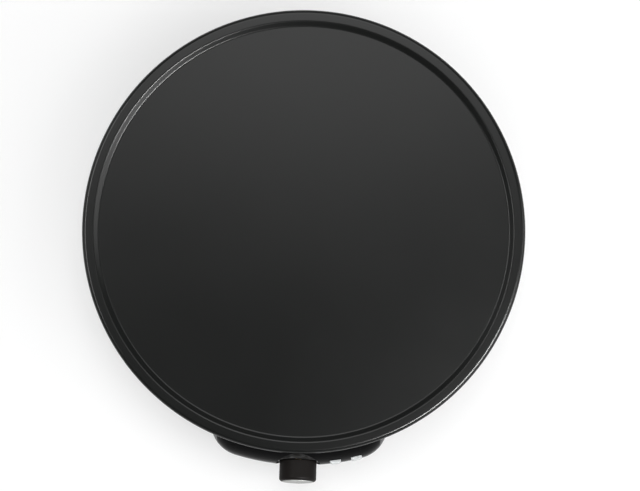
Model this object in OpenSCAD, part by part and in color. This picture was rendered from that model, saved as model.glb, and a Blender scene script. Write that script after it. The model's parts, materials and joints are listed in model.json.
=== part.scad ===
// Electric crepe maker: a cast baking plate with a raised rim on a moulded base,
// with a control pod at the front. Millimetres, +Z up, +X to the right seen from the front,
// front towards -Y. The origin is on the table, under the middle of the whole object.

/* [Baking plate] */
// Outer diameter of the baking plate
plate_d = 380; // [376:1:384]
// Height of the rim's flat top above the table
rim_z = 82; // [81:0.5:84]
// How far the cooking surface lies below the rim's flat top
rim_step = 2.8; // [2:0.2:3.2]
// Width of the sloping step between the cooking surface and the rim
step_w = 4; // [3:0.5:5]
// Width of the rim outside the step
border_w = 10; // [9:0.5:11]
// Thickness of the plate
plate_t = 4.5; // [4:0.5:5]
// Rounding of the plate's outer edge
edge_round = 4; // [3:0.5:5]
// Height of the plate's outer wall
skirt_h = 10; // [9:0.5:10]

/* [Heater] */
// Diameter of the sheathed heating tube
tube_d = 6.5; // [6:0.1:6.6]
// Radius of the tube's outer loop
outer_loop_r = 133; // [130:1:134]
// Radius of the tube's inner loop
inner_loop_r = 80; // [78:1:84]
// Outer radius of the heat shield
shield_r = 164; // [160:1:165]

/* [Housing] */
// Thickness of the moulded wall
wall = 2.6; // [2.4:0.1:3]
// Height of the housing's underside above the table
floor_z = 8; // [7:0.5:9]
// Radius of the bowl at its top
bowl_r = 183; // [182:0.5:184]
// Radius of the bowl where its wall meets the bottom rounding
bowl_low_r = 178; // [177:0.5:180]
// How far the control pod stands out past the plate
pod_reach = 16.5; // [16:0.1:18]
// Half the width of the control pod
pod_half_w = 78.5; // [75:0.5:79]
// Rounding of the control pod's top and corners
pod_round = 30; // [29.5:0.1:31]
// Half the width of the gloss front panel
fascia_half_w = 71.5; // [68:0.5:72]
// Thickness of the gloss front panel
fascia_t = 2; // [1.8:0.1:2.2]

/* [Controls] */
// Diameter of the knob
knob_d = 32.6; // [31:0.2:33]
// How far the knob's face stands out along its axis from the panel's surface
knob_reach = 14.5; // [14:0.5:17]
// Upward tilt of the knob's axis
knob_tilt = 17.2; // [16:0.1:18]
// Diameter of the silver disc in the knob's face
cap_d = 27; // [25:0.5:27]
// Outer diameter of the dial ring
ring_d = 39.2; // [38.8:0.2:39.6]
// How far the dial ring's face lies behind the panel's surface, along the knob's axis
ring_depth = 3.2; // [2.6:0.1:3.6]
// Direction of each lamp to the right of the front line, seen from above
lamp_angles = [9.3, 14.6];
// Upward tilt of the lamps' axes
lamp_tilt = 28; // [26:0.5:30]
// Width of a lamp lens at its foot
lens_w = 9.5; // [9.2:0.1:10]
// Height of a lamp lens at its foot
lens_tall = 7.8; // [7.6:0.1:8.4]
// How far a lamp lens stands out
lens_h = 2; // [1.8:0.1:2.4]

/* [Feet] */
// Diameter of a rubber foot at the table
foot_d = 24; // [22:1:25]
// Radius of the circle that the feet stand on
foot_circle_r = 140; // [136:1:142]

/* [Hidden] */
$fn = 96;

// Running and fitting clearances
slip = 0.05;
fit_gap = 0.1;
panel_gap = 0.15;

// Baking plate
plate_r = plate_d / 2;
surface_z = rim_z - rim_step;
under_z = surface_z - plate_t;
skirt_z = rim_z - skirt_h;
step_out_r = plate_r - border_w;
step_in_r = step_out_r - step_w;

// Heater: the tube lies in a ribbed channel under the plate
tube_r = tube_d / 2;
tube_z = under_z - 0.2 - tube_r - slip;
rib_half_w = 7;
rib_z = tube_z - 1;
loop_mid_r = (outer_loop_r + inner_loop_r) / 2;
loop_half_gap = (outer_loop_r - inner_loop_r) / 2;
loop_start = -70;
outer_end = 250;
inner_end = 245;
rib_short = 2;
leg_run = 12;
leg_bend = 9;
leg_end_z = 53;
seal_end_z = 50;
pin_r = 1.5;
pin_end_z = 34.2;
connector_z = 29;
connector_h = 9;
clamp_angles = [10, 90, 170];
clamp_w = 14;
clamp_t = 1.2;
clamp_top_z = tube_z - tube_r - 0.02;

// Sensing bulb of the thermostat, in a channel of its own
bulb_angle = 262;
bulb_r = 3;
bulb_in_r = 68;
bulb_out_r = 138;
bulb_z = under_z - 0.25 - bulb_r;
bulb_clip_r = 103;

// Plate fixing: towers in the base, steel spacers, screws from below
fixing_angles = [0, 90, 180, 270];
fixing_circle_r = 150;
tower_r = 8;
tower_top_z = 48;
shoulder_z = 38;
boss_r = 7;
boss_z = 66;
screw_r = 2.5;

// Housing
floor_in_z = floor_z + wall;
bowl_corner = 22;
corner_z = floor_z + bowl_corner;
pod_top_z = skirt_z - 0.7;
bowl_top_z = pod_top_z - 0.7;
ball_z = pod_top_z - pod_round;
ball_r = plate_r + pod_reach - pod_round;
corner_x = pod_half_w - pod_round;
corner_angle = asin(corner_x / ball_r);
corner_y = ball_r * cos(corner_angle);
pod_back = 60;
pod_start_r = 100;
pod_low_round = 8;
pod_seam = 0.05;
pod_inset = fascia_t + wall;
pod_in_r = ball_r + pod_round - pod_inset;
peg_end_r = pod_in_r - 0.3;
fascia_top_r = plate_r + 2;
fascia_low_z = floor_z + 9;
peg_angles = [-13.5, -8, 8, 13.5];
peg_z = 26;
peg_r = 3.2;

// Knob axis: it stands square to the pod's surface
knob_r = ball_r + pod_round * cos(knob_tilt);
knob_z = ball_z + pod_round * sin(knob_tilt);
knob_back = ring_depth - 0.3;
dish_floor = 9;
dish_floor_t = 1.6;
pad_back = 12;
pad_r = 22;
bracket_t = 1.2;
bracket_back = pad_back + bracket_t;
screw_pitch_half = 12.7;
spindle_r = 3;
spindle_front = 8.5;
hub_r = 5.5;
cover_half = 18;
cover_front = 14.5;
cover_back = 26;
base_back = 34;
tab_x = 12;
tab_y = -8;

// Lamps: they stand square to the pod's surface too
lamp_r = ball_r + pod_round * cos(lamp_tilt);
lamp_z = ball_z + pod_round * sin(lamp_tilt);
lamp_pad_back = 6.4;
lens_stem_r = 3.6;
lens_foot_t = 0.6;
lens_slope = 1.9;
neon_back = 14;

// Cord inlet in the rear wall
inlet_angle = 75;
inlet_z = 38;
inlet_face_r = bowl_low_r + 3.5;
inlet_in_r = 170;
inlet_bore_r = 3.75;

// Terminal block on the floor
block_at = [30, 118];
block_size = [36, 22, 17];
block_z = floor_in_z + 4;
pole_pitch = 12;
pole_z = block_z + 7.4;

// Earth tag under the plate
tag_r = 50;
tag_angle = 60;
tag_z = 69;

// Wires
wire_r = 1.3;
lead_r = 0.9;
wire_bend = 6;

// The whole object's front and rear set where its middle is
knob_front = knob_reach + 0.3;
cap_edge = cap_d / 2 - 0.3;
front_reach = knob_r + knob_front * cos(knob_tilt) + cap_edge * sin(knob_tilt);
axis_y = (front_reach - plate_r) / 2;

function unit(v) = v / norm(v);
function polar(r, a, z) = [r * cos(a), r * sin(a), z];
function knob_point(x, y, z) = [
    x,
    -knob_r - z * cos(knob_tilt) + y * sin(knob_tilt),
    knob_z + z * sin(knob_tilt) + y * cos(knob_tilt)
];
function lamp_point(a, z) = polar(lamp_r + z * cos(lamp_tilt), a - 90, lamp_z + z * sin(lamp_tilt));
function leg_point(r, a, z) = polar(r, a, z) + leg_run * [-sin(a), cos(a), 0];
function turn(a, b, c) = acos(unit(b - a) * unit(c - b));
function setback(a, b, c, bend) = bend * tan(turn(a, b, c) / 2);

// Everything is drawn about the plate's own axis and then moved to the object's frame
module in_place() {
    translate([0, axis_y, 0]) children();
}

module at_polar(r, a, z = 0) {
    rotate([0, 0, a]) translate([r, 0, z]) children();
}

// Local +Z points outwards along the knob's axis
module at_knob(z = 0) {
    translate([0, -knob_r, knob_z]) rotate([90 - knob_tilt, 0, 0]) translate([0, 0, z]) children();
}

// Local +Z points outwards along a lamp's axis
module at_lamp(a, z = 0) {
    rotate([0, 0, a]) translate([0, -lamp_r, lamp_z]) rotate([90 - lamp_tilt, 0, 0])
        translate([0, 0, z]) children();
}

// Local +Z points outwards, level, in a direction seen from above
module facing(a, r, z) {
    rotate([0, 0, a]) translate([r, 0, z]) rotate([0, 90, 0]) children();
}

module ring(outer, inner, h) {
    difference() {
        cylinder(r = outer, h = h);
        translate([0, 0, -1]) cylinder(r = inner, h = h + 2);
    }
}

// Cross-headed screw, head upwards, its bearing face at zero
module screw(head_r, head_h, shank_r, length) {
    difference() {
        cylinder(r = head_r, h = head_h);
        for (a = [0, 90]) rotate([0, 0, a])
            translate([-head_r * 0.55, -0.45, head_h * 0.45]) cube([head_r * 1.1, 0.9, head_h]);
    }
    translate([0, 0, -length]) cylinder(r = shank_r, h = length);
}

// Points of a path with an arc of four steps in place of each point between its ends
function rounded(p, bend) = [
    p[0],
    for (i = [1:len(p) - 2]) each arc_points(p[i - 1], p[i], p[i + 1], bend),
    p[len(p) - 1]
];
function arc_points(a, b, c, bend) =
    let (u = unit(b - a), v = unit(c - b), w = unit(v - (v * u) * u), whole = turn(a, b, c))
    let (middle = b - u * setback(a, b, c, bend) + w * bend)
    [for (k = [0:4]) middle + bend * (u * sin(whole * k / 4) - w * cos(whole * k / 4))];
function along(q, i) = unit(q[min(i + 1, len(q) - 1)] - q[max(i - 1, 0)]);
function squared(n, t) = unit(n - (n * t) * t);
function carried(q, n, i = 0) =
    let (m = squared(n, along(q, i)))
    i == len(q) - 1 ? [m] : concat([m], carried(q, m, i + 1));

// Round tube along a rounded path: one ring of eight points at each point of the path
module bent_tube(p, r, bend) {
    q = rounded(p, bend);
    sides = 8;
    normals = carried(q, abs(along(q, 0).z) < 0.9 ? [0, 0, 1] : [1, 0, 0]);
    points = [for (i = [0:len(q) - 1], k = [0:sides - 1]) let (turned = k * 360 / sides)
        q[i] + r * (cos(turned) * normals[i] + sin(turned) * cross(along(q, i), normals[i]))];
    walls = [for (i = [0:len(q) - 2], k = [0:sides - 1])
        let (a = i * sides + k, b = i * sides + (k + 1) % sides)
        each [[a, a + sides, b + sides], [a, b + sides, b]]];
    ends = [[for (k = [0:sides - 1]) k], [for (k = [1:sides]) len(q) * sides - k]];
    polyhedron(points, concat(ends, walls));
}

// Four-sided block through rectangles given as [half width, half depth, height], lowest first
module tapered(levels) {
    top = 4 * (len(levels) - 1);
    points = [for (l = levels, k = [[-1, -1], [1, -1], [1, 1], [-1, 1]])
        [k.x * l.x, k.y * l.y, l.z]];
    walls = [for (i = [0:len(levels) - 2], k = [0:3])
        let (a = 4 * i + k, b = 4 * i + (k + 1) % 4) [a, a + 4, b + 4, b]];
    polyhedron(points, concat([[0, 1, 2, 3], [top + 3, top + 2, top + 1, top]], walls));
}

// ---- Baking plate and heater ----

// Sweeps a section along the double loop of the heater, up to some degrees short of its ends
module along_loop(short = 0) {
    span = outer_end - loop_start - short;
    inner_span = inner_end - loop_start - short;
    rotate([0, 0, loop_start]) {
        rotate_extrude(angle = span) translate([outer_loop_r, 0]) children();
        rotate_extrude(angle = inner_span) translate([inner_loop_r, 0]) children();
    }
    at_polar(loop_mid_r, loop_start) rotate([0, 0, 180])
        rotate_extrude(angle = 180) translate([loop_half_gap, 0]) children();
}

module plate_section() {
    polygon([
        [0, under_z], [0, surface_z], [step_in_r, surface_z], [step_out_r, rim_z],
        [plate_r - edge_round, rim_z], [plate_r - edge_round, rim_z - edge_round],
        [plate_r, rim_z - edge_round], [plate_r, skirt_z + 0.8], [plate_r - 0.8, skirt_z],
        [plate_r - 3.6, skirt_z], [plate_r - 4.2, rim_z - plate_t], [step_out_r, rim_z - plate_t],
        [step_in_r, under_z]
    ]);
    translate([plate_r - edge_round, rim_z - edge_round]) circle(r = edge_round);
}

module baking_plate() color("#343735") in_place() difference() {
    union() {
        rotate_extrude() plate_section();
        along_loop(rib_short) translate([-rib_half_w, rib_z])
            square([2 * rib_half_w, under_z + 1 - rib_z]);
        for (a = fixing_angles) at_polar(fixing_circle_r, a, boss_z)
            cylinder(r = boss_r, h = under_z + 1 - boss_z);
        for (a = clamp_angles) at_polar(loop_mid_r, a, clamp_top_z)
            cylinder(r = 5, h = under_z + 1 - clamp_top_z);
        at_polar(tag_r, tag_angle, tag_z) cylinder(r = 4.5, h = under_z + 1 - tag_z);
        rotate([0, 0, bulb_angle]) translate([bulb_in_r, -6.6, bulb_z - 1])
            cube([bulb_out_r - bulb_in_r, 13.2, under_z + 2 - bulb_z]);
        for (side = [-1, 1]) rotate([0, 0, bulb_angle])
            translate([bulb_clip_r, side * 10, bulb_z - bulb_r + 0.02])
                cylinder(r = 4, h = under_z + 1 - bulb_z + bulb_r);
    }
    along_loop() {
        translate([0, tube_z]) circle(r = tube_r + slip);
        translate([-tube_r - slip, rib_z - 1]) square([2 * (tube_r + slip), tube_z - rib_z + 1]);
    }
    for (a = fixing_angles) at_polar(fixing_circle_r, a, boss_z - 1)
        cylinder(r = screw_r + slip, h = 8);
    for (a = clamp_angles) at_polar(loop_mid_r, a, clamp_top_z - 1)
        cylinder(r = 1.95 + slip, h = 6.5);
    at_polar(tag_r, tag_angle, tag_z - 1) cylinder(r = 1.95 + slip, h = 6);
    rotate([0, 0, bulb_angle]) {
        translate([bulb_in_r - 1, 0, bulb_z]) rotate([0, 90, 0])
            cylinder(r = bulb_r + slip, h = bulb_out_r - bulb_in_r + 2);
        translate([bulb_in_r - 1, -bulb_r - slip, bulb_z - 4])
            cube([bulb_out_r - bulb_in_r + 2, 2 * (bulb_r + slip), 4]);
        for (side = [-1, 1]) translate([bulb_clip_r, side * 10, bulb_z - 4])
            cylinder(r = 1.45 + slip, h = 6);
    }
}

// Sets the two ends of the tube: local +Y runs on along the tube
module at_tube_ends() {
    at_polar(outer_loop_r, outer_end) children();
    at_polar(inner_loop_r, inner_end) children();
}

module heating_element() color("#8d8f8c") in_place() {
    along_loop() translate([0, tube_z]) circle(r = tube_r);
    at_tube_ends() difference() {
        union() {
            translate([0, -1, tube_z]) rotate([-90, 0, 0]) cylinder(r = tube_r + 0.2, h = 2.5);
            translate([0, 0, tube_z]) rotate([-90, 0, 0]) cylinder(r = tube_r, h = leg_run - leg_bend);
            translate([0, leg_run - leg_bend, tube_z - leg_bend]) rotate([90, 0, 90])
                rotate_extrude(angle = 90) translate([leg_bend, 0]) circle(r = tube_r);
            translate([0, leg_run, leg_end_z])
                cylinder(r = tube_r, h = tube_z - leg_bend - leg_end_z);
        }
        translate([0, leg_run, leg_end_z - 1]) cylinder(r = pin_r + slip, h = 6);
    }
}

module element_seals() color("ivory") in_place() at_tube_ends()
    translate([0, leg_run, seal_end_z]) ring(tube_r - 0.1, pin_r + slip, leg_end_z - seal_end_z);

module element_pins() color("#b9b7ae") in_place() at_tube_ends()
    translate([0, leg_run, pin_end_z]) cylinder(r = pin_r, h = leg_end_z + 4.5 - pin_end_z);

module element_connectors() color("#d9d4c4") in_place() at_tube_ends()
    translate([0, leg_run, connector_z]) difference() {
        translate([-3.7, -3.2, 0]) cube([7.4, 6.4, connector_h]);
        translate([0, 0, connector_h - 4]) cylinder(r = pin_r + slip, h = 5);
    }

module element_clamps() color("#a9aaa8") in_place() for (a = clamp_angles)
    rotate([0, 0, a]) translate([0, 0, clamp_top_z - clamp_t]) difference() {
        translate([inner_loop_r - 9, -clamp_w / 2, 0])
            cube([outer_loop_r - inner_loop_r + 17, clamp_w, clamp_t]);
        translate([loop_mid_r, 0, -1]) cylinder(r = 2.2, h = clamp_t + 2);
    }

module clamp_screws() color("#b7b6b1") in_place() for (a = clamp_angles)
    at_polar(loop_mid_r, a, clamp_top_z - clamp_t) rotate([180, 0, 0]) screw(4, 2.4, 1.95, 5.6);

// ---- Sensing bulb ----

module sensing_bulb() color("#b87344") in_place() rotate([0, 0, bulb_angle])
    translate([bulb_in_r, 0, bulb_z]) rotate([0, 90, 0]) cylinder(r = bulb_r, h = bulb_out_r - bulb_in_r);

module bulb_clip() color("#a9aaa8") in_place() rotate([0, 0, bulb_angle])
    translate([bulb_clip_r - 6, -14, bulb_z - bulb_r - 1]) difference() {
        cube([12, 28, 1]);
        for (y = [4, 24]) translate([6, y, -1]) cylinder(r = 1.7, h = 3);
    }

module bulb_clip_screws() color("#b7b6b1") in_place() for (side = [-1, 1])
    rotate([0, 0, bulb_angle]) translate([bulb_clip_r, side * 10, bulb_z - bulb_r - 1])
        rotate([180, 0, 0]) screw(2.9, 1.8, 1.45, 4.4);

// From the bulb down through the heat shield and into the side of the thermostat
capillary_path = [
    polar(bulb_out_r, bulb_angle, bulb_z), polar(146, bulb_angle, bulb_z), polar(146, bulb_angle, 40),
    [-26, -166, 40], knob_point(-26, 13, -20), knob_point(-cover_half, 13, -20)
];

module capillary_tube() color("#c07a48") in_place() bent_tube(capillary_path, 0.75, 3);

// ---- Heat shield and plate fixing ----

module heat_shield() color("#b4b6b5") in_place() difference() {
    rotate_extrude() polygon([
        [0, tower_top_z + 2.5], [58, tower_top_z + 2.5], [62, tower_top_z],
        [shield_r, tower_top_z], [shield_r, tower_top_z + 8], [shield_r - 0.8, tower_top_z + 8],
        [shield_r - 0.8, tower_top_z + 0.8], [61.7, tower_top_z + 0.8], [57.7, tower_top_z + 3.3],
        [0, tower_top_z + 3.3]
    ]);
    for (a = fixing_angles) at_polar(fixing_circle_r, a, 0) cylinder(r = screw_r + 0.3, h = 80);
    at_tube_ends() translate([0, leg_run, 0]) cylinder(r = 7, h = 80);
    at_polar(146, bulb_angle, 0) cylinder(r = 3, h = 80);
    at_polar(tag_r + 12, tag_angle, 0) cylinder(r = 4, h = 80);
}

module plate_spacers() color("#c3c4c2") in_place() for (a = fixing_angles)
    at_polar(fixing_circle_r, a, tower_top_z + 0.8)
        ring(6, screw_r + fit_gap, boss_z - tower_top_z - 0.8);

module plate_washers() color("#c3c4c2") in_place() for (a = fixing_angles)
    at_polar(fixing_circle_r, a, shoulder_z - 1) ring(5, screw_r + fit_gap, 1);

module plate_screws() color("#b7b6b1") in_place() for (a = fixing_angles)
    at_polar(fixing_circle_r, a, shoulder_z - 1) rotate([180, 0, 0])
        screw(4.6, 3.6, screw_r, boss_z + 6.5 - shoulder_z + 1);

// ---- Housing and front panel ----

module bowl_solid(inset, bottom, top) {
    rotate_extrude() {
        polygon([[0, corner_z], [bowl_low_r - inset, corner_z], [bowl_r - inset, top], [0, top]]);
        translate([0, bottom]) square([bowl_low_r - bowl_corner, corner_z - bottom]);
        translate([bowl_low_r - bowl_corner, corner_z]) circle(r = bowl_corner - inset);
    }
}

// Section of the pod from a corner's centre outwards: round at the top, rounded at the foot
module pod_section(radius, bottom, low_round) {
    translate([0, ball_z]) intersection() {
        circle(r = radius);
        square(radius);
    }
    translate([0, bottom + low_round]) square([radius, ball_z - bottom - low_round]);
    translate([0, bottom]) square([radius - low_round, low_round]);
    translate([radius - low_round, bottom + low_round]) circle(r = low_round);
}

// The pod as if a ball had been rolled along its top edge, drawn in by an inset. The bowl
// fills what lies inside it. Its front, corners and sides differ by a hair from each other
// and from the bowl's floor, so no two surfaces coincide
module pod_solid(inset, floor_level, low_round) {
    radius = pod_round - inset;
    top = ball_z + radius;
    bottom = floor_level + pod_seam;
    sweep = corner_angle + 0.1;
    rotate([0, 0, -90 - sweep]) rotate_extrude(angle = 2 * sweep) {
        translate([ball_r, 0]) pod_section(radius, bottom, low_round);
        translate([pod_start_r, bottom]) square([ball_r - pod_start_r, top - bottom]);
    }
    for (side = [0, 1]) mirror([side, 0, 0]) {
        translate([corner_x, -corner_y, 0]) rotate_extrude()
            pod_section(radius - pod_seam, bottom + pod_seam, low_round - pod_seam);
        translate([corner_x, -pod_back, 0]) rotate([90, 0, 0])
            linear_extrude(height = corner_y - pod_back + 1) {
                pod_section(radius - 2 * pod_seam, bottom + 2 * pod_seam, low_round - 2 * pod_seam);
                translate([-1, bottom + 2 * pod_seam]) square([1, top - bottom - 4 * pod_seam]);
            }
    }
}

module pod_outside() {
    pod_solid(0, floor_z, pod_low_round);
}

// What lies inside the front panel's back face
module pod_behind_panel() {
    pod_solid(fascia_t + fit_gap, floor_z, pod_low_round);
}

// The part of the pod's outside that the front panel takes up
module panel_zone(grow) {
    translate([0, 0, fascia_low_z - grow]) linear_extrude(height = 70) difference() {
        translate([-fascia_half_w - grow, -plate_r - 40])
            square([2 * (fascia_half_w + grow), 90]);
        circle(r = fascia_top_r - grow);
    }
}

module panel_recess() {
    intersection() {
        difference() {
            pod_solid(-0.5, floor_z, pod_low_round);
            pod_behind_panel();
        }
        panel_zone(panel_gap);
    }
}

module at_pegs(r) {
    for (a = peg_angles) facing(a - 90, r, peg_z) children();
}

module at_poles() {
    for (i = [-1:1]) translate([block_at.x + i * pole_pitch, block_at.y, 0]) children();
}

module at_block_screws() {
    for (side = [-0.5, 0.5]) translate([block_at.x + side * pole_pitch, block_at.y, 0]) children();
}

module housing_walls() {
    difference() {
        union() {
            bowl_solid(0, floor_z, bowl_top_z);
            pod_outside();
        }
        bowl_solid(wall, floor_in_z, bowl_top_z + 1);
        pod_solid(pod_inset, floor_in_z, pod_low_round - wall);
    }
}

module housing_bosses() {
    for (a = fixing_angles) at_polar(fixing_circle_r, a, floor_z + 0.5)
        cylinder(r = tower_r, h = tower_top_z - floor_z - 0.5);
    for (a = [45:90:315]) at_polar(foot_circle_r, a, floor_z + 0.5) cylinder(r = 6, h = 14);
    at_block_screws() translate([0, 0, floor_z + 0.5]) cylinder(r = 4, h = block_z - floor_z - 0.5);
    intersection() {
        at_knob(-pad_back) cylinder(r = pad_r, h = pad_back);
        pod_behind_panel();
    }
    for (a = lamp_angles) at_lamp(a, -lamp_pad_back) cylinder(r = 7.5, h = lamp_pad_back - 3.5);
    facing(inlet_angle, inlet_in_r, inlet_z) cylinder(r = 11, h = inlet_face_r - inlet_in_r);
}

module base_housing() color("#1d1d1e") in_place() difference() {
    union() {
        housing_walls();
        housing_bosses();
    }
    panel_recess();
    at_knob(-dish_floor) cylinder(r = ring_d / 2 + fit_gap, h = 20);
    at_knob(-20) cylinder(r = 5, h = 20);
    for (x = [-screw_pitch_half, screw_pitch_half]) at_knob(-20) translate([x, 0, 0])
        cylinder(r = 2.1, h = 20);
    for (a = lamp_angles) at_lamp(a, -10) cylinder(r = lens_stem_r + fit_gap, h = 14);
    at_pegs(knob_r - 10) cylinder(r = peg_r + fit_gap, h = 20);
    for (a = fixing_angles) at_polar(fixing_circle_r, a, 0) {
        cylinder(r = 5.4, h = shoulder_z);
        cylinder(r = screw_r + 0.2, h = 60);
    }
    for (a = [45:90:315]) at_polar(foot_circle_r, a, 0) cylinder(r = 2 + slip, h = floor_z + 12.5);
    at_block_screws() translate([0, 0, floor_z + 1.6]) cylinder(r = 1.6 + slip, h = 20);
    facing(inlet_angle, 150, inlet_z) cylinder(r = 6.5 + fit_gap, h = 60);
    for (a = [15:30:345]) rotate([0, 0, a]) translate([62, -2, 0]) cube([34, 4, floor_in_z + 1]);
}

module front_fascia() color("#0c0c0d") in_place() {
    difference() {
        intersection() {
            difference() {
                pod_outside();
                pod_solid(fascia_t, floor_z, pod_low_round);
            }
            panel_zone(0);
        }
        at_knob(-dish_floor) cylinder(r = ring_d / 2 + fit_gap, h = 20);
        for (a = lamp_angles) at_lamp(a, -10) cylinder(r = lens_stem_r + fit_gap, h = 14);
        at_pegs(peg_end_r) cylinder(r = 1.4 + slip, h = 4);
    }
    at_pegs(peg_end_r) ring(peg_r, 1.4 + slip, 3.2);
}

module fascia_screws() color("#b7b6b1") in_place()
    at_pegs(peg_end_r) rotate([180, 0, 0]) screw(4.8, 2, 1.4, 3.8);

// ---- Knob and dial ring ----

module dial_ring() color("#1b1a19") in_place() at_knob() difference() {
    rotate_extrude() polygon([
        [5.2, -dish_floor], [ring_d / 2, -dish_floor], [ring_d / 2, -ring_depth - 0.6],
        [ring_d / 2 - 0.6, -ring_depth], [knob_d / 2 + 0.8, -ring_depth],
        [knob_d / 2 + 0.4, -ring_depth - 0.4], [knob_d / 2 + 0.4, -dish_floor + dish_floor_t],
        [5.2, -dish_floor + dish_floor_t]
    ]);
    for (x = [-screw_pitch_half, screw_pitch_half]) translate([x, 0, -20]) cylinder(r = 2.1, h = 20);
}

module knob_section() {
    outer = knob_d / 2;
    round_r = 3;
    square([outer - round_r, knob_reach + knob_back]);
    square([outer, knob_reach + knob_back - round_r]);
    translate([outer - round_r, knob_reach + knob_back - round_r]) circle(r = round_r);
}

// The spindle's round end with its flat
module spindle_end(grow) {
    difference() {
        cylinder(r = spindle_r + grow, h = spindle_front + 1.5 + grow);
        translate([-5, 1.6 + grow, -1]) cube([10, 5, 20]);
    }
}

module knob() color("#191716") in_place() at_knob() difference() {
    union() {
        difference() {
            translate([0, 0, -knob_back]) rotate_extrude() knob_section();
            translate([0, 0, -knob_back - 1]) cylinder(r = knob_d / 2 - 2.1, h = knob_back + 11);
            translate([0, 0, knob_reach - 0.8]) cylinder(r = cap_d / 2 + slip, h = 5);
        }
        translate([0, 0, -1.5]) cylinder(r = hub_r, h = 12.5);
    }
    translate([0, 0, -1.5]) spindle_end(slip);
    translate([-2.6, 1.6, -2]) cube([5.2, 0.8, 11]);
    rotate([0, 0, 225]) translate([knob_d / 2 - 0.8, -0.7, -knob_back + 1.5]) cube([2, 1.4, 11.5]);
}

module knob_cap() color("#b9b9b7") in_place() at_knob(knob_reach - 0.8) rotate_extrude()
    polygon([[0, 0], [cap_d / 2, 0], [cap_d / 2, 0.8], [cap_edge, 1.1], [0, 1.1]]);

module knob_pointer() color("white") in_place() at_knob() rotate([0, 0, 225]) intersection() {
    translate([knob_d / 2 - 0.78, -0.65, -knob_back + 1.55]) cube([2, 1.3, 11.4]);
    translate([0, 0, -knob_back]) cylinder(r = knob_d / 2 - 0.02, h = 30);
}

// Bent leaf between the spindle's flat and the knob's hub
module knob_spring_clip() color("#c9b458") in_place() at_knob() translate([-2.5, 1.65 + slip, -1.4])
    cube([5, 0.5, 9.5]);

// ---- Thermostat ----

module thermostat_spindle() color("#c2b280") in_place() at_knob() {
    translate([0, 0, -22]) cylinder(r = spindle_r, h = 20.5);
    translate([0, 0, -1.5]) spindle_end(0);
    translate([0, 0, -20]) cylinder(r = 8, h = 2.5);
}

module thermostat_bush() color("#b79d55") in_place() at_knob() {
    translate([0, 0, -bracket_back - 1.2]) ring(7, spindle_r + slip, 1.2);
    translate([0, 0, -bracket_back]) ring(4.75, spindle_r + slip, bracket_back - 6.5);
}

module thermostat_bracket() color("#b4b6b5") in_place() at_knob() difference() {
    union() {
        translate([-cover_half - 1.25, -15, -bracket_back])
            cube([2 * cover_half + 2.5, 30, bracket_t]);
        for (side = [0, 1]) mirror([side, 0, 0]) translate([cover_half + slip, -8, -28])
            cube([bracket_t, 16, 28 - pad_back]);
    }
    translate([0, 0, -20]) cylinder(r = 4.8, h = 20);
    for (x = [-screw_pitch_half, screw_pitch_half]) translate([x, 0, -20])
        cylinder(r = 2 + slip, h = 20);
}

module thermostat_cover() color("#a9aaa8") in_place() at_knob() difference() {
    translate([-cover_half, -cover_half, -cover_back])
        cube([2 * cover_half, 2 * cover_half, cover_back - cover_front]);
    translate([-cover_half + 1, -cover_half + 1, -cover_back - 1])
        cube([2 * cover_half - 2, 2 * cover_half - 2, cover_back - cover_front]);
    translate([0, 0, -20]) cylinder(r = spindle_r + 0.4, h = 20);
}

module thermostat_base() color("#3a2c22") in_place() at_knob()
    translate([-cover_half, -cover_half, -base_back])
        cube([2 * cover_half, 2 * cover_half, base_back - cover_back]);

module thermostat_diaphragm() color("#c07a48") in_place() at_knob() translate([0, 4, -cover_back])
    rotate_extrude() polygon([[0, 0], [10, 0], [11, 0.6], [10, 1.4], [4, 1.4], [3, 2.2], [0, 2.2]]);

// Two leaf springs, each with a silver contact
module thermostat_contacts() color("#c9a24a") in_place() at_knob() {
    translate([-14, -15, -cover_back]) cube([26, 5, 0.6]);
    translate([9, -12.5, -cover_back + 0.6]) cylinder(r = 2, h = 1.1);
    translate([-14, -15, -cover_back + 0.9]) cube([5, 5, 2]);
    translate([-14, -15, -cover_back + 2.9]) cube([26, 5, 0.4]);
    translate([9, -12.5, -cover_back + 2]) cylinder(r = 2, h = 0.9);
}

module thermostat_terminals() color("#c9b458") in_place() at_knob() for (x = [-tab_x, tab_x])
    translate([x - 3.15, tab_y - 0.4, -base_back - 9]) cube([6.3, 0.8, 9]);

module thermostat_screws() color("#b7b6b1") in_place()
    for (x = [-screw_pitch_half, screw_pitch_half])
        at_knob(-dish_floor + dish_floor_t) translate([x, 0, 0])
            screw(3.5, 2.3, 2, cover_front - 0.2 - dish_floor + dish_floor_t);

module push_on_connectors() color("#d9d4c4") in_place() at_knob() for (x = [-tab_x, tab_x])
    translate([x - 3.7, tab_y - 1.6, -base_back - 19]) difference() {
        cube([7.4, 3.2, 17]);
        translate([0.45, 1.1, 8]) cube([6.5, 1, 10]);
    }

// ---- Pilot lamps ----

// A four-sided jewel on a hollow round stem
module pilot_lens(a) at_lamp(a) difference() {
    union() {
        tapered([
            [lens_w / 2, lens_tall / 2, 0], [lens_w / 2, lens_tall / 2, lens_foot_t],
            [lens_w / 2 - lens_slope, lens_tall / 2 - lens_slope, lens_h]
        ]);
        translate([0, 0, -9]) cylinder(r = lens_stem_r, h = 9.3);
    }
    translate([0, 0, -10]) cylinder(r = lens_stem_r - 0.5, h = 10 + lens_foot_t);
}

module pilot_lens_left() color("#eef0f0") in_place() pilot_lens(lamp_angles[0]);

module pilot_lens_right() color("#eef0f0") in_place() pilot_lens(lamp_angles[1]);

module neon_bulbs() color("#e9c9a8") in_place() for (a = lamp_angles) at_lamp(a, -neon_back)
    rotate_extrude() {
        square([2.8, neon_back - 3.5]);
        translate([0, neon_back - 3.5]) intersection() {
            circle(r = 2.8);
            square(2.8);
        }
    }

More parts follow.
